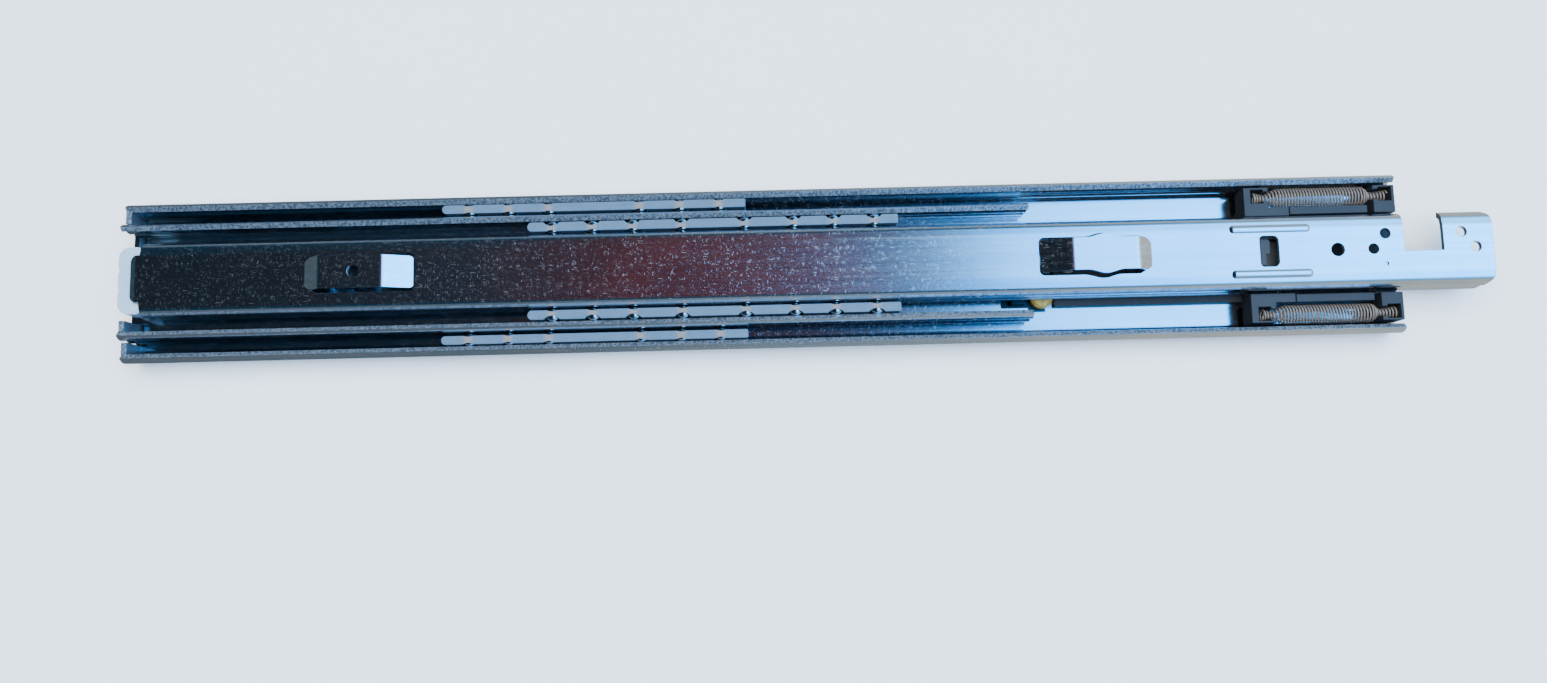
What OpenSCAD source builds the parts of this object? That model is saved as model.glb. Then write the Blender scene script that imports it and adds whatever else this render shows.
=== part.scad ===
// Side-mounted full-extension drawer slide with a spring self-closing unit, shown closed.
// The slide lies on its mounting face. X runs along it from front to rear, Y is its height
// in the cabinet, and Z = 0 is the face that screws to the cabinet side. The origin is on
// that face, on the centreline, at the front end of the cabinet member.

/* [Lengths] */
// Length of the cabinet member
cabinet_length = 420; // [400:5:450]
// Length of the intermediate member
intermediate_length = 298; // [290:1:299]
// Front end of the drawer member when closed
drawer_front = 5.3; // [5:0.1:6]
// Rear tip of the drawer member when closed
drawer_rear = 447.5; // [446:0.5:455]

/* [Sheet steel] */
// Thickness of the cabinet member
cabinet_sheet = 2; // [1.8:0.1:2]
// Thickness of the intermediate member
intermediate_sheet = 1.8; // [1.6:0.1:1.8]
// Thickness of the drawer member
drawer_sheet = 1.6; // [1.4:0.1:1.6]

/* [Balls] */
// Diameter of the balls
ball_d = 5.556; // [5.5:0.001:5.556]
// Radius of the rolled ball tracks
track_r = 2.9; // [2.85:0.01:2.95]
// Distance of the outer ball rows from the centreline
outer_row_y = 21.6; // [21.4:0.1:21.6]
// Height of the outer ball rows above the mounting face
outer_row_z = 9.5; // [9.5:0.1:9.6]
// Distance of the inner ball rows from the centreline
inner_row_y = 14.6; // [14.6:0.1:14.7]

/* [Self-closing unit] */
// Distance of the spring axes from the centreline
spring_y = 19.6; // [19.6:0.1:19.7]
// Height of the spring axes above the mounting face
spring_z = 9.3; // [9:0.1:9.6]
// Outside diameter of the spring coils
spring_d = 6.5; // [5.5:0.1:6.5]
// Front face of the slider when closed
slider_front = 369.7; // [369.5:0.1:370]

/* [Hidden] */

// Overlap between solids that are joined, steepest step along a bend, and facets of a
// round surface
eps = 0.05;
arc_step = 7.5;
corner_steps = 8;
round_fn = 48;
ball_r = ball_d / 2;

// Mid-sheet radii of the bends that hold the balls
cabinet_track = track_r + cabinet_sheet / 2;
intermediate_track = track_r + intermediate_sheet / 2;
drawer_track = track_r + drawer_sheet / 2;

// The two tracks of the intermediate flange are tangent to each other, which sets the
// height of the inner ball rows
row_gap_y = outer_row_y - inner_row_y;
inner_row_z = outer_row_z + sqrt(pow(2 * intermediate_track, 2) - row_gap_y * row_gap_y);
swap_angle = atan2(inner_row_z - outer_row_z, row_gap_y);

cabinet_web_top = cabinet_sheet;
web_gap = 1.7;
intermediate_web_z = cabinet_web_top + web_gap + intermediate_sheet / 2;
intermediate_web_top = intermediate_web_z + intermediate_sheet / 2;
face_z = 19.1;
drawer_web_z = face_z - drawer_sheet / 2;
drawer_web_under = face_z - drawer_sheet;

// A bend is [centre y, centre z, mid-sheet radius, first angle, last angle]
lip_angle = 45;
cabinet_bend = 2;
corner_bend = 2.5;
cabinet_wall_y = outer_row_y + (cabinet_track + cabinet_bend) * cos(lip_angle) - cabinet_bend;
cabinet_bends = [
    [cabinet_wall_y - corner_bend, cabinet_sheet / 2 + corner_bend, corner_bend, -90, 0],
    [cabinet_wall_y + cabinet_bend,
        outer_row_z - (cabinet_track + cabinet_bend) * sin(lip_angle),
        cabinet_bend, 180, 180 - lip_angle],
    [outer_row_y, outer_row_z, cabinet_track, -lip_angle, lip_angle]
];

foot_angle = 20;
foot_bend = 1.9;
foot_run = (outer_row_z - intermediate_track * sin(foot_angle) - intermediate_web_z - foot_bend
    - foot_bend * sin(foot_angle)) / cos(foot_angle);
foot_y = outer_row_y - intermediate_track * cos(foot_angle) + foot_run * sin(foot_angle)
    - foot_bend * cos(foot_angle);
intermediate_bends = [
    [foot_y, intermediate_web_z + foot_bend, foot_bend, -90, foot_angle],
    [outer_row_y, outer_row_z, intermediate_track, 180 + foot_angle, 180 - swap_angle],
    [inner_row_y, inner_row_z, intermediate_track, -swap_angle, lip_angle]
];

// The drawer member's face falls away gently past a soft crease, then steeply down to the
// nose that rounds into the ball track
slope_angle = 12;
side_angle = 60;
tuck_angle = 25;
crease_y = 6.9;
crease_bend = 3;
edge_bend = 1.6;
nose_bend = 2;
nose_y = inner_row_y - (drawer_track + nose_bend) * cos(tuck_angle);
nose_z = inner_row_z + (drawer_track + nose_bend) * sin(tuck_angle);

// Distances of the sloping and steep mid-sheet lines from the origin, less the edge bend,
// cross at the centre of the edge bend
slope_far = crease_y * sin(slope_angle) + (drawer_web_z - crease_bend) * cos(slope_angle)
    + crease_bend - edge_bend;
side_far = nose_y * sin(side_angle) + nose_z * cos(side_angle) + nose_bend - edge_bend;
edge_turn = sin(slope_angle - side_angle);
edge_y = (slope_far * cos(side_angle) - side_far * cos(slope_angle)) / edge_turn;
edge_z = (side_far * sin(slope_angle) - slope_far * sin(side_angle)) / edge_turn;
drawer_bends = [
    [crease_y, drawer_web_z - crease_bend, crease_bend, 90, 90 - slope_angle],
    [edge_y, edge_z, edge_bend, 90 - slope_angle, 90 - side_angle],
    [nose_y, nose_z, nose_bend, 90 - side_angle, -tuck_angle],
    [inner_row_y, inner_row_z, drawer_track, 180 - tuck_angle, 225]
];

// Ball retainers
outer_cage_x = [104.7, 204.9];
outer_cage_y = [20.4, 23.2];
inner_cage_x = [133.4, 254.9];
inner_cage_y = [13.1, 16.1];
cage_half_height = 3.3;
cage_corner = 1.4;
cage_rear_corner = 0.5;
pocket_r = ball_r + 0.14;

// Beside each ball the strip's roof is cut away by a shallow arc, and the depths of the arcs
// are for its outer and inner edges
notch_r = 3.4;
outer_notches = [0.5, 0.3];
inner_notches = [1.25, 0.4];
outer_ball_offsets = [15, 28.3, 41.3];
inner_ball_offsets = [10.3, 26.4, 39.6, 52.9];

// Openings and holes of the cabinet and intermediate members
screw_x = [37, 165, 261];
screw_r = 2.3;
adjust_slot_x = [69, 229];
adjust_slot_length = 10;
access_x = [37, 233];
access_r = 5.5;
rivet_hole_r = 1.6;
stop_tab_x = [0, 1.8];
cabinet_tab_y = [19.8, 24.2];
cabinet_tab_top = 12;
intermediate_tab_y = [12.9, 17.8];
intermediate_tab_top = 14.2;
intermediate_tab_hole = [1.8, 5.5];
intermediate_hole_y = [12.9, 16.3];
detent_x = [292.8, 297.4];
detent_y = [11.5, 13.3];
detent_top = 5;
detent_slot_x = 289;
detent_slot_y = [10.2, 14.6];

// Openings, beads and holes of the drawer member
drawer_half = 12.6;
tongue_half = 7.7;
tongue_corner = 2.3;
side_front = 8.4;
bevel_rear = drawer_front + 1.8;
bevel_drop = 0.65;
window_x = [371.5, 377.7];
window_half = 5.1;
bead_x = [362, 388.2];
bead_y = 7.3;
bead_half = 1.2;
bead_rise = 0.5;
notch_x = [418.5, 431.3];
notch_y = -0.9;
tail_side_y = 8;
tail_side_z = 15.6;
tail_hole_r = 1.75;
tail_centre_x = [408.4, 441.7];
tail_offset_x = [412.5, 437.3];
tail_offset_y = 5;
rivet_window_r = 2.2;
dimple_x = 412.3;
dimple_r = 0.65;

// Bridges that hook the drawer, each [fixed end, free end, run of the rising foot, run of
// the ramp down to the free end]
bridge_half = 5.3;
bridge_gap = 0.9;
bridge_rise = 4;
bridge_slit = 0.5;
bridge_bend = 2;
ramp_end = 0.2;
ramp_bend = 3;
root_corner = 3.4;
free_corner = 1.6;
front_bridge = [61.5, 97.4, 6.9, 10.2];
rear_bridge = [336.7, 299.8, 6.2, 10.6];
bridge_hole_x = 78.9;
bridge_hole_r = 2;

// Swelling of the rear bridge: its middle, half its length, and how far it stands out
bulge = [320.5, 6, 1.2];
bulge_steps = 12;

// Front bumper
bumper_x = [0.8, 8];
bumper_y = [-11.35, 10.75];
bumper_z = [9.6, 17.2];
bumper_corner = 3.6;
bumper_gap = 0.35;
lobe_y = [-3.5, 3.1];
lobe_r = 1.5;
lobe_depth = 0.35;
plug_rear = 20;
plug_half = 9.2;
plug_z = [10, 16];

// Self-closing unit
base_x = [307.2, 419.5];
base_half = 14.2;
base_top = 4.4;
block_x = [412.5, base_x[1]];
block_half = 22.5;
block_foot_half = 20.8;
block_top = 8.6;
ridge_x = [386, base_x[1]];
ridge_half = 8.5;
wall_x = [384.7, 410.2];
wall_y = [13.4, 15.9];
wall_top = 13;
park_x = [318, 332];
slab_z = [4.7, 8.8];
slider_rear = slider_front + 14.6;
cheek_half = 9.3;
tower_top = 15.9;
arm_y = [13, 15.9];
skirt_bottom = cabinet_web_top + 0.3;
ear_rear = slider_front + 8.1;
ear_bottom = 4.5;
slider_cavity_x = [slider_front + 2.2, slider_front + 6.4];
block_cavity_x = [block_x[0] + 1.7, block_x[0] + 6.1];
cavity_half = 2.35;
neck_half = 1.7;
spring_x = [373.6, 418.3];

// Catch, its pin and the room for them in the slider
catch_pivot = [slider_front + 10.5, 9.6];
catch_nose_x = [slider_front + 2.7, slider_front + 5.8];
catch_eye_r = 2.9;
catch_half = 4.3;
catch_step_y = -0.6;
catch_top = 17.2;
catch_room_x = slider_front + 1.4;
pin_r = 1.2;

// Rivets
stud_pos = [303, -11];
stud_r = 3.7;
stud_top = 5.2;
rivet_x = [312, 396.8];
rivet_r = 3.1;
shank_r = 1.55;
shank_z = 0.3;

// ---- sheet-metal profiles -------------------------------------------------------------

function bend_steps(b) = ceil(abs(b[4] - b[3]) / arc_step);

function bend_side(b, off) = [
    for (i = [0 : bend_steps(b)])
        let (a = b[3] + (b[4] - b[3]) * i / bend_steps(b),
             r = b[2] + off * sign(b[4] - b[3]))
        [b[0] + r * cos(a), b[1] + r * sin(a)]
];

function side_points(bends, off) = [for (b = bends) each bend_side(b, off)];

function mirrored(points) = [for (i = [len(points) - 1 : -1 : 0]) [-points[i][0], points[i][1]]];

function reversed(points) = [for (i = [len(points) - 1 : -1 : 0]) points[i]];

// Outline in Y and Z of a symmetric rolled channel
function channel_outline(bends, sheet) =
    let (one = side_points(bends, sheet / 2), two = side_points(bends, -sheet / 2))
    concat(mirrored(one), one, reversed(concat(mirrored(two), two)));

// A Y-Z outline swept along X
module along_x(x0, x1, outline) {
    translate([x0, 0, 0])
        rotate([90, 0, 90])
            linear_extrude(x1 - x0)
                polygon(outline);
}

// A span of distances from the centreline, on the upper side (s = 1) or the lower (s = -1)
function side(s, span) = s > 0 ? span : [-span[1], -span[0]];

// An X-Z outline swept across Y
module across_y(y0, y1, outline) {
    translate([0, y1, 0])
        rotate([90, 0, 0])
            linear_extrude(y1 - y0)
                polygon(outline);
}

module box(x, y, z) {
    translate([x[0], y[0], z[0]])
        cube([x[1] - x[0], y[1] - y[0], z[1] - z[0]]);
}

// Plan rectangle with rounded corners: rear_r applies at the far end, front_r at the near end
module plan_block(x, y, z, front_r, rear_r) {
    corner = function (cx, cy, r, a0) [
        for (i = [0 : corner_steps])
            let (a = a0 + 90 * i / corner_steps)
            [cx + r * cos(a), cy + r * sin(a)]
    ];
    translate([0, 0, z[0]])
        linear_extrude(z[1] - z[0])
            polygon(concat(
                corner(x[1] - rear_r, y[1] - rear_r, rear_r, 0),
                corner(x[0] + front_r, y[1] - front_r, front_r, 90),
                corner(x[0] + front_r, y[0] + front_r, front_r, 180),
                corner(x[1] - rear_r, y[0] + rear_r, rear_r, 270)));
}

// Slot with round ends, its long way across the slide
module cross_slot(x, length, r, z) {
    for (s = [-1, 1])
        translate([x, s * (length / 2 - r), z[0]])
            cylinder(r = r, h = z[1] - z[0], $fn = round_fn);
    box([x - r, x + r], [r - length / 2, length / 2 - r], z);
}

// Upright round bar, mostly used to cut a hole
module hole(x, y, r, z) {
    translate([x, y, z[0]])
        cylinder(r = r, h = z[1] - z[0], $fn = round_fn);
}

// ---- members --------------------------------------------------------------------------

module cabinet_member() {
    web_cut = [-1, cabinet_web_top + 1];
    color("silver") {
        difference() {
            intersection() {
                along_x(0, cabinet_length, channel_outline(cabinet_bends, cabinet_sheet));
                plan_block([0, cabinet_length], [-27, 27], [-1, 20], 0.8, 1);
            }
            for (x = screw_x)
                hole(x, 0, screw_r, web_cut);
            for (x = adjust_slot_x)
                cross_slot(x, adjust_slot_length, screw_r, web_cut);
            for (x = rivet_x)
                hole(x, 0, rivet_hole_r, web_cut);
            hole(stud_pos[0], stud_pos[1], rivet_hole_r, web_cut);
        }
        // End stops folded up in the ball tracks
        for (s = [-1, 1])
            box(stop_tab_x, side(s, cabinet_tab_y), [cabinet_web_top - eps, cabinet_tab_top]);
        // Low detent that stands in the slot of the closed intermediate member
        box(detent_x, side(-1, detent_y), [cabinet_web_top - eps, detent_top]);
    }
}

module intermediate_member() {
    web_cut = [intermediate_web_z - 2, intermediate_web_top + 1];
    color("silver") {
        difference() {
            along_x(0, intermediate_length,
                channel_outline(intermediate_bends, intermediate_sheet));
            for (x = access_x)
                hole(x, 0, access_r, web_cut);
            box([detent_slot_x, intermediate_length + 1], side(-1, detent_slot_y), web_cut);
            for (s = [-1, 1])
                box(intermediate_tab_hole, side(s, intermediate_hole_y), web_cut);
        }
        // One folded end stop is enough for the pair of inner cages
        box(stop_tab_x, side(-1, intermediate_tab_y),
            [intermediate_web_top - eps, intermediate_tab_top]);
    }
}

// Plan of a bridge with its side bulge and round corners. The slits beside it are grow wide
// and end where its fixed corners begin. The fixed end itself is larger by root.
module bridge_plan(b, grow, root) {
    way = sign(b[1] - b[0]);
    w = bridge_half + grow;
    swell = [
        for (i = [-bulge_steps : bulge_steps])
            let (t = i / bulge_steps)
            [bulge[0] - t * bulge[1], w + bulge[2] * (1 + cos(180 * t)) / 2]
    ];
    bulged = min(b) < bulge[0] && bulge[0] < max(b);
    edge = concat(
        [
            for (a = [0 : 15 : 75])
                [b[0] + way * (root_corner * (1 - cos(a)) - root),
                    bridge_half + root - root_corner * (1 - sin(a))]
        ],
        [[b[0] + way * (root_corner + grow), w]],
        bulged ? swell : [],
        [
            for (a = [90 : -15 : 0])
                [b[1] - way * free_corner * (1 - cos(a)), w - free_corner * (1 - sin(a))]
        ]);
    translate([0, 0, face_z - 5])
        linear_extrude(15)
            polygon(concat(edge, [for (p = reversed(edge)) [p[0], -p[1]]]));
}

// Bridge pressed up out of the drawer member's face. The foot slopes between two bends, and
// the ramp is straight below one bend.
module bridge(b) {
    length = abs(b[1] - b[0]) - bridge_slit;
    top = drawer_web_z + bridge_rise;
    spread = [b[2], bridge_rise - 2 * bridge_bend];
    foot_a = atan(spread[1] / spread[0]) + asin(2 * bridge_bend / norm(spread));
    run = b[3] - bridge_slit;
    fall = bridge_rise - ramp_end;
    spare = 2 * ramp_bend - fall;
    ramp_a = 2 * atan((run - sqrt(run * run - spare * fall)) / spare);
    bends = [
        [0, drawer_web_z + bridge_bend, bridge_bend, -90, foot_a - 90],
        [b[2], top - bridge_bend, bridge_bend, 90 + foot_a, 90],
        [length - run, top - ramp_bend, ramp_bend, 90, 90 - ramp_a]
    ];
    tip = [length, drawer_web_z + ramp_end];
    lift = drawer_sheet / 2 * [sin(ramp_a), cos(ramp_a)];
    under = concat([[-1, drawer_web_under]], side_points(bends, drawer_sheet / 2),
        [tip - lift]);
    over = concat([[-1, face_z]], side_points(bends, -drawer_sheet / 2), [tip + lift]);
    intersection() {
        translate([b[0], 0, 0])
            mirror([b[1] > b[0] ? 0 : 1, 0, 0])
                across_y(-drawer_half, drawer_half, concat(under, reversed(over)));
        bridge_plan(b, 0, eps);
    }
}

// Stiffening bead beside the catch window, a round bar that stands out of the face
module bead(y) {
    bead_r = (bead_half * bead_half + bead_rise * bead_rise) / 2 / bead_rise;
    ends = [bead_x[0] + bead_half, bead_x[1] - bead_half];
    intersection() {
        translate([0, y, face_z + bead_rise - bead_r]) {
            translate([ends[0], 0, 0])
                rotate([0, 90, 0])
                    cylinder(r = bead_r, h = ends[1] - ends[0], $fn = round_fn);
            for (x = ends)
                translate([x, 0, 0])
                    sphere(r = bead_r, $fn = round_fn);
        }
        box(bead_x, [y - 2 * bead_half, y + 2 * bead_half], [drawer_web_z, face_z + 1]);
    }
}

module drawer_member() {
    web_cut = [drawer_web_under - 1, face_z + 1];
    color("gainsboro") {
        difference() {
            union() {
                intersection() {
                    along_x(drawer_front, drawer_rear,
                        channel_outline(drawer_bends, drawer_sheet));
                    // The sides start behind a tongue of the face
                    union() {
                        plan_block([drawer_front, 2 * side_front], [-tongue_half, tongue_half],
                            [5, 22], tongue_corner, 0.4);
                        plan_block([side_front, drawer_rear], [-drawer_half, drawer_half],
                            [5, 22], 0.4, 4);
                    }
                }
                for (s = [-1, 1])
                    bead(s * bead_y);
            }
            // Bevel along the front edge
            across_y(-drawer_half, drawer_half, [
                [drawer_front - 1, face_z - bevel_drop * 1.5], [bevel_rear, face_z],
                [bevel_rear, face_z + 1], [drawer_front - 1, face_z + 1]
            ]);
            bridge_plan(front_bridge, bridge_gap, 0);
            bridge_plan(rear_bridge, bridge_gap, 0);
            plan_block(window_x, [-window_half, window_half], web_cut, 1.2, 1.8);
            box(notch_x, [notch_y, 20], [0, 30]);
            // The upper side of the tail stops below its shoulder
            box([notch_x[0], drawer_rear + 1], [tail_side_y, 20], [0, tail_side_z]);
            for (x = tail_centre_x)
                hole(x, 0, tail_hole_r, web_cut);
            for (x = tail_offset_x)
                hole(x, tail_offset_y, tail_hole_r, web_cut);
            hole(rivet_x[1], 0, rivet_window_r, web_cut);
            hole(dimple_x, -tail_offset_y, dimple_r, [face_z - 0.5, face_z + 1]);
        }
        difference() {
            bridge(front_bridge);
            hole(bridge_hole_x, 0, bridge_hole_r, [face_z, face_z + bridge_rise + 1]);
        }
        bridge(rear_bridge);
    }
}

// ---- balls and their cages ------------------------------------------------------------

function middle(x) = (x[0] + x[1]) / 2;

function ball_places(x, offsets) = [for (o = offsets) each [middle(x) - o, middle(x) + o]];

// Strip with a pocket for each ball. notches are the depths of the arcs cut in its roof, and
// heel is the width and height cut from its lower outer edge.
module cage(x, y, z, offsets, notches, heel) {
    arcs = [y[1] + notch_r - notches[0], y[0] - notch_r + notches[1]];
    color("whitesmoke")
        difference() {
            plan_block(x, y, [z - cage_half_height, z + cage_half_height],
                cage_corner, cage_rear_corner);
            for (bx = ball_places(x, offsets)) {
                translate([bx, middle(y) - 5, z])
                    rotate([-90, 0, 0])
                        cylinder(r = pocket_r, h = 10, $fn = round_fn);
                for (arc_y = arcs)
                    hole(bx, arc_y, notch_r, [z, z + cage_half_height + 1]);
            }
            box([x[0] - 1, x[1] + 1], [y[1] - heel[0], y[1] + 1],
                [z - cage_half_height - 1, z - cage_half_height + heel[1]]);
        }
}

module balls(x, y, z, offsets) {
    color("lightgray")
        for (bx = ball_places(x, offsets))
            translate([bx, y, z])
                sphere(r = ball_r, $fn = round_fn);
}

module outer_cage_upper() {
    cage(outer_cage_x, outer_cage_y, outer_row_z, outer_ball_offsets, outer_notches,
        [0.7, 1.1]);
}

module outer_cage_lower() {
    mirror([0, 1, 0])
        outer_cage_upper();
}

module inner_cage_upper() {
    cage(inner_cage_x, inner_cage_y, inner_row_z, inner_ball_offsets, inner_notches,
        [0.3, 0.3]);
}

module inner_cage_lower() {
    mirror([0, 1, 0])
        inner_cage_upper();
}

module outer_balls_upper() {
    balls(outer_cage_x, outer_row_y, outer_row_z, outer_ball_offsets);
}

module outer_balls_lower() {
    balls(outer_cage_x, -outer_row_y, outer_row_z, outer_ball_offsets);
}

module inner_balls_upper() {
    balls(inner_cage_x, inner_row_y, inner_row_z, inner_ball_offsets);
}

module inner_balls_lower() {
    balls(inner_cage_x, -inner_row_y, inner_row_z, inner_ball_offsets);
}

// ---- front bumper ---------------------------------------------------------------------

module front_bumper() {
    color("white") {
        // Cushion across the end, with a horn beside each corner of the tongue
        difference() {
            plan_block(bumper_x, bumper_y, bumper_z, bumper_corner, 1.2);
            plan_block([drawer_front - bumper_gap, plug_rear],
                [-tongue_half - bumper_gap, tongue_half + bumper_gap],
                [bumper_z[0] - 1, bumper_z[1] + 1], tongue_corner + bumper_gap, 1);
            // Two shallow grooves part the cushion into three lobes
            for (y = lobe_y)
                hole(bumper_x[0] + lobe_depth - lobe_r, y, lobe_r,
                    [bumper_z[0] - 1, bumper_z[1] + 1]);
        }
        // Plug that grips inside the channel
        plan_block([drawer_front - 1, plug_rear], [-plug_half, plug_half], plug_z, 0.4, 1.5);
    }
}

// ---- self-closing unit ----------------------------------------------------------------

// Pocket that holds one flared spring end, and the slot its neck leaves by, cut from above
module spring_pocket(cavity_x, neck_x, s) {
    y = s * spring_y;
    box(cavity_x, [y - cavity_half, y + cavity_half], [spring_z - cavity_half, wall_top + 1]);
    box(neck_x, [y - neck_half, y + neck_half], [spring_z - neck_half, wall_top + 1]);
}

module closer_housing() {
    color("dimgray")
        difference() {
            union() {
                box(base_x, [-base_half, base_half], [cabinet_web_top, base_top]);
                // Rear block, narrower at its foot to clear the cabinet member's bends
                box(block_x, [-block_foot_half, block_foot_half], [cabinet_web_top, base_top]);
                box(block_x, [-block_half, block_half], [base_top - eps, block_top]);
                for (s = [-1, 1]) {
                    // Ears that hold the rear spring ends
                    box(block_x, side(s, [wall_y[0], block_half]), [block_top - eps, wall_top]);
                    // Guard walls beside the springs
                    box(wall_x, side(s, wall_y), [cabinet_web_top, wall_top]);
                }
                // Guide ridge inside the drawer member
                box(ridge_x, [-ridge_half, ridge_half], [base_top - eps, block_top]);
            }
            for (s = [-1, 1])
                spring_pocket(block_cavity_x, [block_x[0] - 1, block_cavity_x[0] + eps], s);
            // Parking recess for the catch
            box(park_x, [-catch_half - 0.4, catch_half + 0.4], [3, base_top + 1]);
            // Rivet seats
            for (x = rivet_x)
                hole(x, 0, rivet_hole_r, [0, wall_top]);
            hole(rivet_x[1], 0, rivet_r + 0.5, [base_top, wall_top]);
        }
}

module closer_slider() {
    body_x = [slider_front, slider_rear];
    color("dimgray")
        difference() {
            union() {
                // Slab that rides on the base, and the tower inside the drawer member
                box(body_x, [-arm_y[1], arm_y[1]], slab_z);
                box(body_x, [-cheek_half, cheek_half], [slab_z[0], tower_top]);
                for (s = [-1, 1]) {
                    // Arm outside the drawer member, with its skirt beside the base
                    box(body_x, side(s, arm_y), [slab_z[0], wall_top]);
                    box(body_x, side(s, [base_half + 0.3, arm_y[1]]), [skirt_bottom, wall_top]);
                    // Ear that holds the front spring end
                    box([slider_front, ear_rear], side(s, [arm_y[1] - eps, block_half]),
                        [ear_bottom, wall_top]);
                }
            }
            for (s = [-1, 1])
                spring_pocket(slider_cavity_x, [slider_cavity_x[1] - eps, slider_rear], s);
            // Room for the catch, and the bore for its pin
            box([catch_room_x, slider_rear + 1], [-catch_half - 0.3, catch_half + 0.3],
                [slab_z[0] - 1, tower_top + 1]);
            translate([catch_pivot[0], -cheek_half - 10, catch_pivot[1]])
                rotate([-90, 0, 0])
                    cylinder(r = pin_r, h = 2 * cheek_half + 20, $fn = round_fn);
        }
}

module closer_catch() {
    px = catch_pivot[0];
    pz = catch_pivot[1];
    nose = catch_nose_x;
    neck_z = 13.6;
    color("gray")
        difference() {
            union() {
                translate([px, -catch_half, pz])
                    rotate([-90, 0, 0])
                        cylinder(r = catch_eye_r, h = 2 * catch_half, $fn = round_fn);
                // Lever with the narrow part of the hook
                across_y(-catch_half, catch_half, [
                    [nose[0], 12], [nose[1], pz - 1], [px, pz - catch_eye_r],
                    [px + 1.8, pz + 2], [nose[1] + 0.8, neck_z], [nose[1] - 1.4, neck_z],
                    [nose[1] - 1.4, catch_top], [nose[0], catch_top]
                ]);
                // Wide part of the hook, on the upper side of a step
                plan_block(nose, [catch_step_y, catch_half], [12, catch_top], 0.5, 0.9);
            }
            translate([px, -catch_half - 1, pz])
                rotate([-90, 0, 0])
                    cylinder(r = pin_r + 0.05, h = 2 * catch_half + 2, $fn = round_fn);
        }
}

module catch_pin() {
    color("silver")
        translate([catch_pivot[0], -cheek_half, catch_pivot[1]])
            rotate([-90, 0, 0])
                cylinder(r = pin_r - 0.01, h = 2 * cheek_half, $fn = round_fn);
}

spring_length = spring_x[1] - spring_x[0];
spring_pitch = 1;
spring_turns = floor(spring_length / spring_pitch);
neck_r = 1.4;

// Outer radius of the close-wound spring at x from its front end. Each end flares from a
// neck, and the body swells from the neck over a few turns.
function spring_radius(x) =
    let (r = spring_d / 2, back = spring_length - x)
    x < 3 ? neck_r + 0.8 * (1 - x / 3)
    : x < 4 ? neck_r
    : x < 9 ? neck_r + (r - neck_r) * sin(90 * (x - 4) / 5)
    : back > 8.8 ? r
    : back > 6.2 ? neck_r + (r - neck_r) * sin(90 * (back - 6.2) / 2.6)
    : back > 4.4 ? neck_r
    : neck_r + 0.75 * (1 - back / 4.4);

module closer_spring(s) {
    turn = spring_length / spring_turns;
    groove = 0.25;
    outline = [
        for (i = [0 : spring_turns - 1])
            each [
                [spring_radius(i * turn) - groove, i * turn],
                [spring_radius((i + 0.3) * turn), (i + 0.3) * turn],
                [spring_radius((i + 0.7) * turn), (i + 0.7) * turn]
            ]
    ];
    tail = [[spring_radius(spring_length) - groove, spring_length], [0, spring_length]];
    color("darkgray")
        translate([spring_x[0], s * spring_y, spring_z])
            rotate([0, 90, 0])
                rotate_extrude($fn = round_fn)
                    polygon(concat([[0, 0]], outline, tail));
}

module closer_spring_upper() {
    closer_spring(1);
}

module closer_spring_lower() {
    closer_spring(-1);
}

// ---- rivets ---------------------------------------------------------------------------

module stop_stud() {
    edge = 0.8;
    color("goldenrod")
        translate([stud_pos[0], stud_pos[1], 0]) {
            translate([0, 0, shank_z])
                cylinder(r = shank_r, h = stud_top - shank_z - edge, $fn = round_fn);
            translate([0, 0, cabinet_web_top])
                cylinder(r = stud_r, h = stud_top - edge - cabinet_web_top, $fn = round_fn);
            translate([0, 0, stud_top - edge])
                cylinder(r1 = stud_r, r2 = stud_r - edge, h = edge, $fn = round_fn);
        }
}

module housing_rivets() {
    head = 0.8;
    dome = 0.5;
    color("tan")
        for (x = rivet_x)
            translate([x, 0, 0]) {
                translate([0, 0, shank_z])
                    cylinder(r = shank_r, h = base_top + head - shank_z, $fn = round_fn);
                translate([0, 0, base_top])
                    cylinder(r = rivet_r, h = head, $fn = round_fn);
                translate([0, 0, base_top + head])
                    cylinder(r1 = rivet_r, r2 = 1.8, h = dome, $fn = round_fn);
            }
}

cabinet_member();
intermediate_member();
drawer_member();
outer_cage_upper();
outer_cage_lower();
inner_cage_upper();
inner_cage_lower();
outer_balls_upper();
outer_balls_lower();
inner_balls_upper();
inner_balls_lower();
front_bumper();
closer_housing();
closer_slider();
closer_catch();
catch_pin();
closer_spring_upper();
closer_spring_lower();
stop_stud();
housing_rivets();
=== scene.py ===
import math

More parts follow.
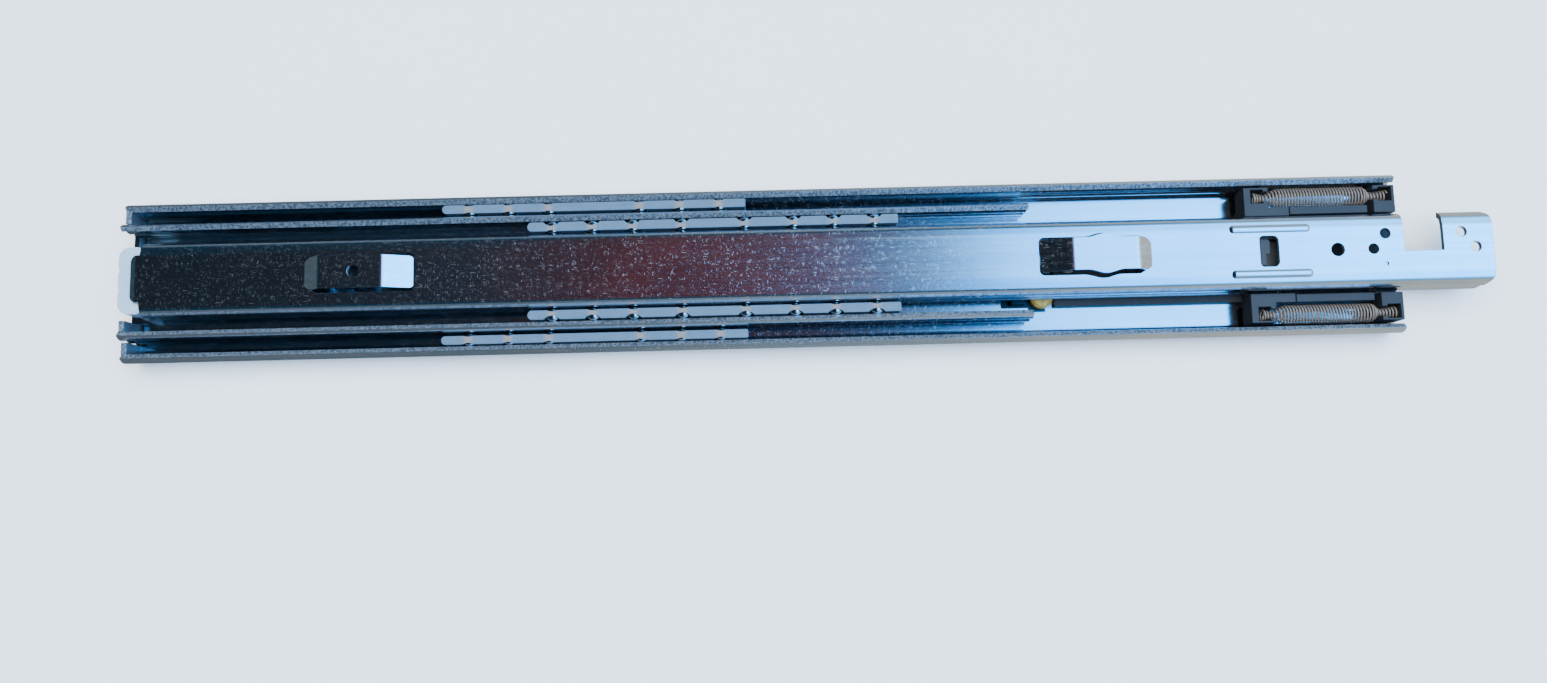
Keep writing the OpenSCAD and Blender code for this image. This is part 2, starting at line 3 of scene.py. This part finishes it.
import bmesh
import bpy
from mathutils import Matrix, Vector


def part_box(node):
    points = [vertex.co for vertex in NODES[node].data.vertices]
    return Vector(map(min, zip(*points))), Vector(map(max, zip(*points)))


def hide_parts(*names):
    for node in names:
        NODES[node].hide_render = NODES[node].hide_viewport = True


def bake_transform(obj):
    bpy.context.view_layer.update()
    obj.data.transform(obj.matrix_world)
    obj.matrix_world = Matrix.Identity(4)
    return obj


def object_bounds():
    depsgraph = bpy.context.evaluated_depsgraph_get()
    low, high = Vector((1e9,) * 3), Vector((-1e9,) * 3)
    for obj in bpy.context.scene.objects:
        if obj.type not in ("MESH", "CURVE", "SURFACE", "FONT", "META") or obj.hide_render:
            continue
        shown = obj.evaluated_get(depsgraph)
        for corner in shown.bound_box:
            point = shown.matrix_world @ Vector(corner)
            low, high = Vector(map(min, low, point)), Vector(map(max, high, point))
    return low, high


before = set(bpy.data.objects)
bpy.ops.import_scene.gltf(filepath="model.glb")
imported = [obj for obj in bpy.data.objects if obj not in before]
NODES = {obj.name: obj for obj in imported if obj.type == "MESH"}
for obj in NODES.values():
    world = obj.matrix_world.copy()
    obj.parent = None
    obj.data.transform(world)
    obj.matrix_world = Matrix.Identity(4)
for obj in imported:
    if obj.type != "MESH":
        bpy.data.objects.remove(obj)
CAD_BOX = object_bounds()
MM = 0.001
MM_PER_METRE = 1000
# Sockets of the Mix node for colours: the two colours, and the result
MIX_A, MIX_B, MIX_RESULT = 6, 7, 2


# ---- shader helpers --------------------------------------------------------------------

# Samples for the rounded look of an edge
EDGE_SAMPLES = 6
# Strokes: the part of a grid cell's length and width that one takes, the scale across Z, the
# shift of the pattern, and how far from the cell's point a stroke ends and is full
DASH_CELL = 0.45
DASH_SCALE_Z = 0.3
DASH_SHIFT = 11
DASH_END, DASH_FULL = 0.34, 0.14


class Shader:
    """One procedural material, with short calls for the nodes that it uses."""

    def __init__(self, name):
        self.material = bpy.data.materials.new(name)
        self.material.use_nodes = True
        self.tree = self.material.node_tree
        self.tree.nodes.clear()
        output = self.tree.nodes.new("ShaderNodeOutputMaterial")
        self.bsdf = self.tree.nodes.new("ShaderNodeBsdfPrincipled")
        self.link(self.bsdf.outputs[0], output.inputs["Surface"])
        coord = self.tree.nodes.new("ShaderNodeTexCoord")
        # The object coordinates are the part's own frame, here in millimetres
        self.mm = self.vector("MULTIPLY", coord.outputs["Object"], (MM_PER_METRE,) * 3)
        self.xyz = self.split(self.mm)

    def link(self, a, b):
        self.tree.links.new(a, b)

    def put(self, socket, value):
        if isinstance(value, bpy.types.NodeSocket):
            self.link(value, socket)
        elif isinstance(value, (tuple, list)) and len(value) == 3 and socket.type == "RGBA":
            socket.default_value = (*value, 1)
        else:
            socket.default_value = value

    def set(self, **values):
        """Inputs of the Principled shader by name, with _ for a space."""
        for key, value in values.items():
            self.put(self.bsdf.inputs[key.replace("_", " ")], value)

    def vector(self, op, a, b):
        n = self.tree.nodes.new("ShaderNodeVectorMath")
        n.operation = op
        self.put(n.inputs[0], a)
        self.put(n.inputs[1], b)
        return n.outputs[0]

    def split(self, v):
        n = self.tree.nodes.new("ShaderNodeSeparateXYZ")
        self.link(v, n.inputs[0])
        return n.outputs

    def math(self, op, a, b=0.0, clamp=False):
        n = self.tree.nodes.new("ShaderNodeMath")
        n.operation = op
        n.use_clamp = clamp
        self.put(n.inputs[0], a)
        self.put(n.inputs[1], b)
        return n.outputs[0]

    def noise(self, scale, detail, roughness=0.5, where=None):
        n = self.tree.nodes.new("ShaderNodeTexNoise")
        self.put(n.inputs["Vector"], self.mm if where is None else where)
        self.put(n.inputs["Scale"], scale)
        self.put(n.inputs["Detail"], detail)
        self.put(n.inputs["Roughness"], roughness)
        return n.outputs["Fac"]

    def stretched(self, scales, turn=0.0, shift=0.0):
        """Coordinates scaled by axis, after a turn about Z in degrees and a shift in X that is
        smaller in Y and Z."""
        n = self.tree.nodes.new("ShaderNodeMapping")
        n.vector_type = "POINT"
        self.put(n.inputs["Vector"], self.mm)
        n.inputs["Rotation"].default_value = (0, 0, math.radians(turn))
        n.inputs["Location"].default_value = (shift, shift * 0.7, shift * 0.3)
        return self.vector("MULTIPLY", n.outputs[0], scales)

    def dashes(self, size, turn, share):
        """Short crisp strokes, size (length, width) in mm, on a share of the cells of a grid."""
        n = self.tree.nodes.new("ShaderNodeTexVoronoi")
        scales = (DASH_CELL / size[0], DASH_CELL / size[1], DASH_SCALE_Z)
        # Each direction has its own shift
        self.put(n.inputs["Vector"], self.stretched(scales, turn, DASH_SHIFT + turn))
        n.inputs["Scale"].default_value = 1.0
        stroke = self.ramp(n.outputs["Distance"], DASH_END, DASH_FULL)
        chosen = self.ramp(self.split(n.outputs["Color"])[0], 1 - share, 1 - share / 2)
        return self.math("MULTIPLY", stroke, chosen)

    def ramp(self, value, low, high, smooth=True):
        """0 at low, 1 at high."""
        n = self.tree.nodes.new("ShaderNodeMapRange")
        n.interpolation_type = "SMOOTHSTEP" if smooth else "LINEAR"
        self.put(n.inputs["Value"], value)
        n.inputs["From Min"].default_value = low
        n.inputs["From Max"].default_value = high
        return n.outputs[0]

    def between(self, value, low, high):
        """A value in 0..1 turned into low..high."""
        n = self.tree.nodes.new("ShaderNodeMapRange")
        self.put(n.inputs["Value"], value)
        n.inputs["To Min"].default_value = low
        n.inputs["To Max"].default_value = high
        return n.outputs[0]

    def mix(self, factor, a, b):
        """Colour a where the factor is 0, and b where it is 1."""
        n = self.tree.nodes.new("ShaderNodeMix")
        n.data_type = "RGBA"
        self.put(n.inputs["Factor"], factor)
        self.put(n.inputs[MIX_A], a)
        self.put(n.inputs[MIX_B], b)
        return n.outputs[MIX_RESULT]

    def bump(self, height, depth, strength, edge=0.0):
        """Relief of a depth in mm. edge is the radius in mm by which sharp edges look rounded."""
        n = self.tree.nodes.new("ShaderNodeBump")
        self.put(n.inputs["Height"], height)
        n.inputs["Distance"].default_value = depth * MM
        n.inputs["Strength"].default_value = strength
        if edge:
            rounded = self.tree.nodes.new("ShaderNodeBevel")
            rounded.samples = EDGE_SAMPLES
            rounded.inputs["Radius"].default_value = edge * MM
            self.link(rounded.outputs[0], n.inputs["Normal"])
        return n.outputs[0]

    def scatter(self, weight, depth):
        """Light that goes in and comes out again within a depth in mm."""
        self.set(Subsurface_Weight=weight, Subsurface_Radius=(1, 1, 1),
                 Subsurface_Scale=depth * MM)

    def facing(self, axis):
        """How far the surface faces along an axis, either way, from 0 to 1."""
        n = self.tree.nodes.new("ShaderNodeNewGeometry")
        return self.math("ABSOLUTE", self.split(n.outputs["True Normal"])[axis])


# ---- materials -------------------------------------------------------------------------

# X where the painted shade on the ball tracks ends, and over what length it fades, in mm
TRACK_SHADE_TO = 299
TRACK_SHADE_FADES = 25
# Length and width in mm, direction in degrees, and the share of the grid cells with a stroke
SCUFFS = [((1.1, 0.10), 88, 0.20), ((0.9, 0.11), -58, 0.18), ((0.8, 0.11), 35, 0.16),
          ((1.6, 0.10), 4, 0.18), ((0.28, 0.20), 20, 0.12)]
# Widths in mm over which the painted shade begins below the lips on the ball tracks, and the
# painted shade in the slot beside the stud fades in X and Y
TRACK_SHADE_STEP = 1
SLOT_SHADE_FADES_X, SLOT_SHADE_FADES_Y = 1, 0.6
ZINC_COOL, ZINC_WARM = (0.66, 0.74, 0.80), (0.80, 0.78, 0.80)
ZINC_BAND, ZINC_SCUFFED = (0.50, 0.58, 0.66), (0.50, 0.50, 0.52)
CUT_DARK, CUT_BRIGHT, CUT_END = (0.12, 0.17, 0.22), (0.52, 0.60, 0.66), (0.10, 0.11, 0.12)
# Painted shade: a darker blue-grey for the ball tracks below the lips, and near black for the
# slot beside the stud
TRACK_SHADE, SLOT_SHADE = (0.44, 0.56, 0.62), (0.012, 0.014, 0.018)


def zinc_steel(name, lip=None, slot_shade=None):
    """Bright zinc plate on rolled steel. lip is the centre (y, z) in mm of the rolled track
    whose sheared edge shows; the ball tracks below it get painted shade. The last argument
    is a near black patch of painted shade in the slot beside the stud, (x, y, half length,
    half width) in mm."""
    s = Shader(name)
    # Grain and wider bands along the rolling direction, cloudiness, and fine texture
    grain = s.noise(1.0, 4, 0.6, s.stretched((0.012, 2.6, 2.6)))
    bands = s.noise(1.0, 3, 0.6, s.stretched((0.008, 0.7, 0.7), shift=40))
    cloud = s.noise(0.05, 4, 0.65)
    fine = s.noise(3.2, 3, 0.7)
    # Fine hairlines and short scuffs in several directions, spread nearly evenly
    marks = s.ramp(s.noise(5.5, 2, 0.6), 0.58, 0.76)
    for size, turn, share in SCUFFS:
        marks = s.math("MAXIMUM", marks, s.dashes(size, turn, share))
    clumps = s.between(s.ramp(s.noise(0.22, 5, 0.75), 0.40, 0.60), 0.55, 1.0)
    marks = s.math("MULTIPLY", marks, clumps, clamp=True)
    # The middle of the slide has rubbed most
    rubbed = s.math("MULTIPLY", s.ramp(s.xyz[0], 60, 230), s.ramp(s.xyz[0], 330, 280))
    marks = s.math("MULTIPLY", marks, s.between(rubbed, 0.4, 1.0))
    color = s.mix(s.ramp(cloud, 0.35, 0.65), ZINC_COOL, ZINC_WARM)
    color = s.mix(s.math("MULTIPLY", s.ramp(bands, 0.42, 0.62), 0.4), color, ZINC_BAND)
    color = s.mix(s.math("MULTIPLY", marks, 0.6), color, ZINC_SCUFFED)
    rough = s.math("ADD", s.between(grain, 0.10, 0.19), s.math("MULTIPLY", marks, 0.20))
    height = s.math("ADD", s.math("MULTIPLY", grain, 0.6), s.math("MULTIPLY", fine, 0.25))
    height = s.math("ADD", height, s.math("MULTIPLY", marks, -0.5))
    if lip:
        # Painted shade on the ball tracks, below the lips and in front of the X where it ends: a
        # darker blue-grey
        track_shade = s.math("MULTIPLY", s.ramp(s.xyz[2], lip[1], lip[1] - TRACK_SHADE_STEP),
                     s.ramp(s.xyz[0], TRACK_SHADE_TO, TRACK_SHADE_TO - TRACK_SHADE_FADES))
        color = s.mix(track_shade, color, TRACK_SHADE)
    # Sheared ends of the sheet, and the sheared edge of the rolled lip
    ends = s.ramp(s.facing(0), 0.75, 0.9)
    cut = ends
    if lip:
        dy = s.math("SUBTRACT", s.math("ABSOLUTE", s.xyz[1]), lip[0])
        dz = s.math("SUBTRACT", s.xyz[2], lip[1])
        edge = s.ramp(s.math("SUBTRACT", dz, dy), -0.12, 0.0, smooth=False)
        edge = s.math("MULTIPLY", edge, s.ramp(dz, 1.0, 1.5, smooth=False))
        cut = s.math("MAXIMUM", cut, edge)
    tear = s.noise(1.0, 4, 0.75, s.stretched((1.5, 1.1, 1.1)))
    cut_color = s.mix(s.ramp(tear, 0.38, 0.62), CUT_DARK, CUT_BRIGHT)
    color = s.mix(cut, color, cut_color)
    color = s.mix(ends, color, CUT_END)
    rough = s.math("ADD", rough, s.math("MULTIPLY", cut, 0.25))
    height = s.math("ADD", height, s.math("MULTIPLY", s.math("MULTIPLY", cut, tear), 6.0))
    dull = s.math("MAXIMUM", s.math("MULTIPLY", marks, 0.22), s.math("MULTIPLY", cut, 0.20))
    dull = s.math("MAXIMUM", dull, s.math("MULTIPLY", ends, 0.8))
    # Painted shade: the web in the narrow slot beside the stud is made near black
    if slot_shade:
        off_x = s.ramp(s.math("ABSOLUTE", s.math("SUBTRACT", s.xyz[0], slot_shade[0])),
                       slot_shade[2], slot_shade[2] - SLOT_SHADE_FADES_X)
        off_y = s.ramp(s.math("ABSOLUTE", s.math("SUBTRACT", s.xyz[1], slot_shade[1])),
                       slot_shade[3], slot_shade[3] - SLOT_SHADE_FADES_Y)
        slot_shade_mask = s.math("MULTIPLY", s.math("MULTIPLY", off_x, off_y), 0.94)
        color = s.mix(slot_shade_mask, color, SLOT_SHADE)
        rough = s.math("ADD", rough, s.math("MULTIPLY", slot_shade_mask, 0.2))
    s.set(Base_Color=color, Metallic=s.math("SUBTRACT", 1.0, dull), Roughness=rough,
          Normal=s.bump(height, 0.012, 0.6, edge=0.22))
    return s.material


def nylon_cage(name, ball_xs):
    """Translucent nylon, darker and bluer than natural nylon: painted shade with a blue cast of
    the light. The steel balls show through it as warm patches.
    """
    s = Shader(name)
    # Distance along X to the nearest ball
    near = None
    for x in ball_xs:
        gap = s.math("ABSOLUTE", s.math("SUBTRACT", s.xyz[0], x))
        near = gap if near is None else s.math("MINIMUM", near, gap)
    cloud = s.noise(0.35, 3, 0.6)
    speck = s.noise(4.0, 2, 0.6)
    near = s.math("ADD", near, s.math("MULTIPLY", s.math("SUBTRACT", cloud, 0.5), 1.2))
    patch = s.ramp(near, 2.2, 0.4)
    # Dark blue-grey instead of off-white: painted shade of the lips with a blue cast of the light
    color = s.mix(cloud, (0.060, 0.108, 0.162), (0.092, 0.155, 0.220))
    color = s.mix(s.math("MULTIPLY", patch, 0.85), color, (0.20, 0.175, 0.16))
    rough = s.between(s.noise(1.4, 3, 0.6), 0.30, 0.46)
    s.set(Base_Color=color, Roughness=rough, IOR=1.5,
          Normal=s.bump(speck, 0.02, 0.35, edge=0.3))
    s.scatter(0.25, 0.8)
    return s.material


def ball_steel(name):
    s = Shader(name)
    wear = s.noise(2.5, 3, 0.6)
    color = s.mix(wear, (0.62, 0.60, 0.58), (0.80, 0.79, 0.77))
    s.set(Base_Color=color, Metallic=1.0, Roughness=s.between(wear, 0.06, 0.16),
          Normal=s.bump(s.noise(6.0, 2), 0.004, 0.4))
    return s.material


def white_nylon(name):
    s = Shader(name)
    cloud = s.noise(0.25, 4, 0.6)
    speck = s.noise(3.0, 3, 0.65)
    # Blue-grey, darker than white nylon: painted shade with a blue cast of the light
    color = s.mix(cloud, (0.25, 0.37, 0.47), (0.40, 0.52, 0.61))
    s.set(Base_Color=color, Roughness=s.between(speck, 0.42, 0.6),
          Normal=s.bump(s.math("ADD", speck, s.math("MULTIPLY", cloud, 2)), 0.05, 0.5,
                        edge=0.6))
    s.scatter(0.3, 1.0)
    return s.material


# How much brighter dust is than the plastic's lighter colour
DUST_LIFT = 2.2


def black_plastic(name, low, high):
    s = Shader(name)
    cloud = s.noise(0.12, 4, 0.6)
    speck = s.noise(3.4, 3, 0.7)
    dust = s.ramp(s.noise(1.6, 4, 0.8), 0.62, 0.78)
    color = s.mix(s.math("ADD", s.math("MULTIPLY", cloud, 0.6), s.math("MULTIPLY", speck, 0.4)),
                  low, high)
    color = s.mix(s.math("MULTIPLY", dust, 0.35), color, tuple(DUST_LIFT * c for c in high))
    s.set(Base_Color=color, Roughness=s.between(speck, 0.48, 0.66), Specular_IOR_Level=0.22,
          Normal=s.bump(speck, 0.03, 0.6, edge=0.3))
    return s.material


def spring_steel(name):
    s = Shader(name)
    wear = s.noise(0.9, 3, 0.6)
    draw = s.noise(5.0, 2, 0.6)
    color = s.mix(wear, (0.15, 0.125, 0.105), (0.27, 0.23, 0.20))
    s.set(Base_Color=color, Metallic=0.3, Roughness=s.between(draw, 0.22, 0.42),
          Normal=s.bump(draw, 0.01, 0.4))
    return s.material


def brass(name, dark, light):
    s = Shader(name)
    wear = s.noise(0.8, 4, 0.65)
    turned = s.noise(3.5, 3, 0.6)
    s.set(Base_Color=s.mix(s.ramp(wear, 0.3, 0.7), dark, light), Metallic=0.45,
          Roughness=s.between(turned, 0.2, 0.42), Normal=s.bump(turned, 0.015, 0.5, edge=0.2))
    return s.material


def pale_floor(name):
    s = Shader(name)
    grain = s.noise(0.02, 4, 0.6)
    color = s.mix(grain, (0.86, 0.87, 0.88), (0.90, 0.905, 0.91))
    s.set(Base_Color=color, Roughness=0.8, Normal=s.bump(s.noise(0.8, 3), 0.02, 0.3))
    return s.material


# Points of one ball lie closer together than this along X, in mm
BALL_GAP = 2
# The patch of painted shade in the slot beside the stud: its centre from the stud's, half length
# and half width, in mm
SLOT_SHADE_X, SLOT_SHADE_Y = -7, -1.5
SLOT_SHADE_HALF = (9, 3.4)


def ball_centres(node):
    """The X places in mm of the balls in a node, from its mesh."""
    n = NODES[node]
    xs = sorted(v.co.x / MM for v in n.data.vertices)
    groups = [[xs[0]]]
    for x in xs[1:]:
        if x - groups[-1][-1] > BALL_GAP:
            groups.append([])
        groups[-1].append(x)
    return [(g[0] + g[-1]) / 2 for g in groups]


def middle(node):
    """Centre of a node's box, in mm."""
    low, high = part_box(node)
    return [(a + b) / 2 / MM for a, b in zip(low, high)]


def give(node, material):
    """Put one material on the whole of a CAD node."""
    obj = NODES[node]
    obj.data.materials.clear()
    obj.data.materials.append(material)


outer = middle("outer_balls_upper")
inner = middle("inner_balls_upper")
stud = middle("stop_stud")
give("cabinet_member", zinc_steel("zinc_cabinet", (outer[1], outer[2]),
                                  slot_shade=(stud[0] + SLOT_SHADE_X, stud[1] + SLOT_SHADE_Y,
                                          *SLOT_SHADE_HALF)))
give("intermediate_member", zinc_steel("zinc_middle", (inner[1], inner[2])))
give("drawer_member", zinc_steel("zinc_drawer"))
outer_nylon = nylon_cage("nylon_outer_cage", ball_centres("outer_balls_upper"))
inner_nylon = nylon_cage("nylon_inner_cage", ball_centres("inner_balls_upper"))
chrome = ball_steel("ball_steel")
for side in ("upper", "lower"):
    give("outer_cage_" + side, outer_nylon)
    give("inner_cage_" + side, inner_nylon)
    give("outer_balls_" + side, chrome)
    give("inner_balls_" + side, chrome)
give("catch_pin", chrome)
give("front_bumper", white_nylon("white_nylon"))
give("closer_housing", black_plastic("housing_plastic", low=(0.016, 0.019, 0.023),
                                     high=(0.034, 0.039, 0.046)))
give("closer_slider", black_plastic("slider_plastic", low=(0.018, 0.021, 0.026),
                                    high=(0.036, 0.041, 0.048)))
give("closer_catch", black_plastic("catch_plastic", low=(0.022, 0.024, 0.028),
                                   high=(0.045, 0.050, 0.056)))
give("stop_stud", brass("yellow_brass", dark=(0.42, 0.27, 0.04), light=(0.66, 0.47, 0.13)))
give("housing_rivets", brass("dull_brass", dark=(0.28, 0.21, 0.13), light=(0.50, 0.40, 0.27)))


# ---- springs ---------------------------------------------------------------------------

# In mm. Each end of a spring flares from a neck, and the body swells from the neck to its full
# radius: the extra radius at the end, then how far from the end the neck begins, the neck
# ends, and the full radius is reached
WIRE_R = 0.28
PITCH = 1.0
NECK_R = 1.4
FRONT_FLARE, FRONT_NECK, FRONT_SWELL, FRONT_FULL = 0.8, 3, 4, 9
REAR_FLARE, REAR_NECK, REAR_SWELL, REAR_FULL = 0.75, 4.4, 6.2, 8.8
STEPS_PER_TURN = 24
WIRE_SIDES = 8


def swelling(share, full):
    """Radius part of the way from the neck to the full coil."""
    return NECK_R + (full - NECK_R) * math.sin(math.pi / 2 * share)


def spring_radius(x, length, full):
    """Outer radius of the spring in mm, at x mm from its front end."""
    back = length - x
    if x < FRONT_NECK:
        return NECK_R + FRONT_FLARE * (1 - x / FRONT_NECK)
    if x < FRONT_SWELL:
        return NECK_R
    if x < FRONT_FULL:
        return swelling((x - FRONT_SWELL) / (FRONT_FULL - FRONT_SWELL), full)
    if back > REAR_FULL:
        return full
    if back > REAR_SWELL:
        return swelling((back - REAR_SWELL) / (REAR_FULL - REAR_SWELL), full)
    if back > REAR_NECK:
        return NECK_R
    return NECK_R + REAR_FLARE * (1 - back / REAR_NECK)


def make_spring(name, node, material, phase):
    """Coil of round wire in place of a CAD spring. phase turns it about its axis, in radians."""
    low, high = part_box(node)
    y, z = (low[1] + high[1]) / 2, (low[2] + high[2]) / 2
    length = (high[0] - low[0]) / MM
    full = (high[2] - low[2]) / 2 / MM
    usable = length - 2 * WIRE_R
    turns = usable / PITCH
    count = int(turns * STEPS_PER_TURN)
    along = Vector((1, 0, 0))
    bm = bmesh.new()
    rings = []
    for i in range(count + 1):
        t = i / count
        x = WIRE_R + usable * t
        r = spring_radius(x, length, full) - WIRE_R
        a = phase + 2 * math.pi * turns * t
        radial = Vector((0, math.cos(a), math.sin(a)))
        centre = Vector((low[0] + x * MM, y, z)) + radial * (r * MM)
        ring = []
        for k in range(WIRE_SIDES):
            b = 2 * math.pi * k / WIRE_SIDES
            outward = radial * math.cos(b) + along * math.sin(b)
            ring.append(bm.verts.new(centre + outward * (WIRE_R * MM)))
        rings.append(ring)
    for one, two in zip(rings, rings[1:]):
        for k in range(WIRE_SIDES):
            after = (k + 1) % WIRE_SIDES
            bm.faces.new((one[k], one[after], two[after], two[k]))
    bm.faces.new(list(reversed(rings[0])))
    bm.faces.new(rings[-1])
    bmesh.ops.recalc_face_normals(bm, faces=bm.faces)
    mesh = bpy.data.meshes.new(name)
    bm.to_mesh(mesh)
    bm.free()
    for polygon in mesh.polygons:
        polygon.use_smooth = True
    obj = bpy.data.objects.new(name, mesh)
    bpy.context.scene.collection.objects.link(obj)
    mesh.materials.append(material)
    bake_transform(obj)
    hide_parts(node)


wire_steel = spring_steel("spring_wire")
make_spring("coil_spring_upper", "closer_spring_upper", wire_steel, phase=0.4)
make_spring("coil_spring_lower", "closer_spring_lower", wire_steel, phase=1.9)


# ---- floor, light and camera -----------------------------------------------------------

# The floor's half side and its middle in X, in metres, and its gap below the part in mm
FLOOR_HALF = 4
FLOOR_CELLS = 8
FLOOR_X = 0.2
FLOOR_GAP = 0.05
SLIDE_CENTRE = (0.22, 0, 0)


def make_floor():
    bm = bmesh.new()
    bmesh.ops.create_grid(bm, x_segments=FLOOR_CELLS, y_segments=FLOOR_CELLS, size=FLOOR_HALF)
    mesh = bpy.data.meshes.new("studio_floor")
    bm.to_mesh(mesh)
    bm.free()
    obj = bpy.data.objects.new("studio_floor", mesh)
    obj.location = (FLOOR_X, 0, CAD_BOX[0][2] - FLOOR_GAP * MM)
    bpy.context.scene.collection.objects.link(obj)
    mesh.materials.append(pale_floor("pale_floor"))
    # Metal mirrors the room and not the pale floor
    obj.visible_glossy = False


def soft_box(name, where, size, watts, color, shiny=True):
    """Area light that faces the slide. Metal mirrors it only if it is shiny."""
    light = bpy.data.lights.new(name, "AREA")
    light.shape = "RECTANGLE"
    light.size, light.size_y = size
    light.energy = watts
    light.color = color
    obj = bpy.data.objects.new(name, light)
    obj.location = where
    towards = Vector(SLIDE_CENTRE) - Vector(where)
    obj.rotation_euler = towards.to_track_quat("-Z", "Y").to_euler()
    obj.visible_camera = False
    obj.visible_glossy = shiny
    bpy.context.scene.collection.objects.link(obj)


make_floor()
soft_box("overhead_light", where=(0.1, 0.3, 2.4), size=(2.6, 2.6), watts=200,
         color=(0.97, 0.99, 1.0), shiny=False)
soft_box("window_light", where=(1.3, 0.5, 1.5), size=(1.7, 1.7), watts=7,
         color=(0.35, 0.75, 1.0))


# Colours by direction along the slide, from beyond its front end (-1) to its rear end (1)
ROOM_ABOVE = [
    (-0.6, (0.010, 0.016, 0.024)),
    (-0.33, (0.015, 0.020, 0.028)),
    (-0.20, (0.022, 0.027, 0.036)),
    (-0.10, (0.105, 0.018, 0.012)),
    (0.02, (0.120, 0.020, 0.012)),
    (0.08, (0.16, 0.08, 0.08)),
    (0.145, (0.19, 0.23, 0.28)),
    (0.19, (0.15, 2.0, 5.5)),
    (0.6, (0.13, 3.4, 9.0)),
]
ROOM_BESIDE = [
    (-0.9, (0.030, 0.075, 0.090)),
    (-0.7, (0.005, 0.026, 0.052)),
    (-0.3, (0.005, 0.038, 0.075)),
    (-0.05, (0.018, 0.055, 0.095)),
    (0.15, (0.03, 0.10, 0.20)),
    (0.4, (0.20, 0.60, 1.00)),
    (0.8, (0.60, 1.00, 1.20)),
]
ROOM_HORIZON = [
    (-1.0, (0.09, 0.12, 0.14)),
    (-0.2, (0.13, 0.17, 0.21)),
    (0.1, (0.28, 0.36, 0.42)),
    (0.3, (0.55, 0.60, 0.60)),
    (1.0, (0.80, 0.80, 0.75)),
]


def studio_room():
    """Surroundings that the bright metal mirrors: dark beyond the front end, a warm ceiling
    overhead, and a large bright blue window beyond the rear end."""
    world = bpy.data.worlds.new("studio")
    world.use_nodes = True
    tree = world.node_tree
    add, link = tree.nodes.new, tree.links.new

    def ramp(value, stops):
        n = add("ShaderNodeValToRGB")
        n.color_ramp.interpolation = "EASE"
        while len(n.color_ramp.elements) < len(stops):
            n.color_ramp.elements.new(0.5)
        for element, (place, color) in zip(n.color_ramp.elements, stops):
            # Directions run from -1 to 1, and the ramp from 0 to 1
            element.position = (place + 1) / 2
            element.color = (*color, 1)
        link(value, n.inputs["Fac"])
        return n.outputs["Color"]

    def mapped(value, low, high, kind="SMOOTHSTEP"):
        n = add("ShaderNodeMapRange")
        n.interpolation_type = kind
        link(value, n.inputs["Value"])
        n.inputs["From Min"].default_value = low
        n.inputs["From Max"].default_value = high
        return n.outputs[0]

    coord = add("ShaderNodeTexCoord")
    axes = add("ShaderNodeSeparateXYZ")
    link(coord.outputs["Generated"], axes.inputs[0])
    along = mapped(axes.outputs[0], -1, 1, "LINEAR")
    color = ramp(along, ROOM_HORIZON)
    # How far up a direction points where the next set of colours begins, and has taken over
    for stops, low, high in ((ROOM_BESIDE, 0.22, 0.36), (ROOM_ABOVE, 0.62, 0.86)):
        mix = add("ShaderNodeMix")
        mix.data_type = "RGBA"
        link(mapped(axes.outputs[2], low, high), mix.inputs["Factor"])
        link(color, mix.inputs[MIX_A])
        link(ramp(along, stops), mix.inputs[MIX_B])
        color = mix.outputs[MIX_RESULT]
    background = tree.nodes["Background"]
    link(color, background.inputs["Color"])
    background.inputs["Strength"].default_value = 1.0
    bpy.context.scene.world = world


studio_room()

# Lens in mm, place in metres and turn in radians, from a perspective fit to the edges and
# ends of the three channels in the photo
camera_data = bpy.data.cameras.new("camera")
camera_data.sensor_fit = "HORIZONTAL"
camera_data.sensor_width = 36
camera_data.lens = 30.392
camera = bpy.data.objects.new("camera", camera_data)
camera.location = (0.211735, -0.079537, 0.435164)
camera.rotation_euler = (0.129036, 0, -0.024677)
bpy.context.scene.collection.objects.link(camera)
bpy.context.scene.camera = camera
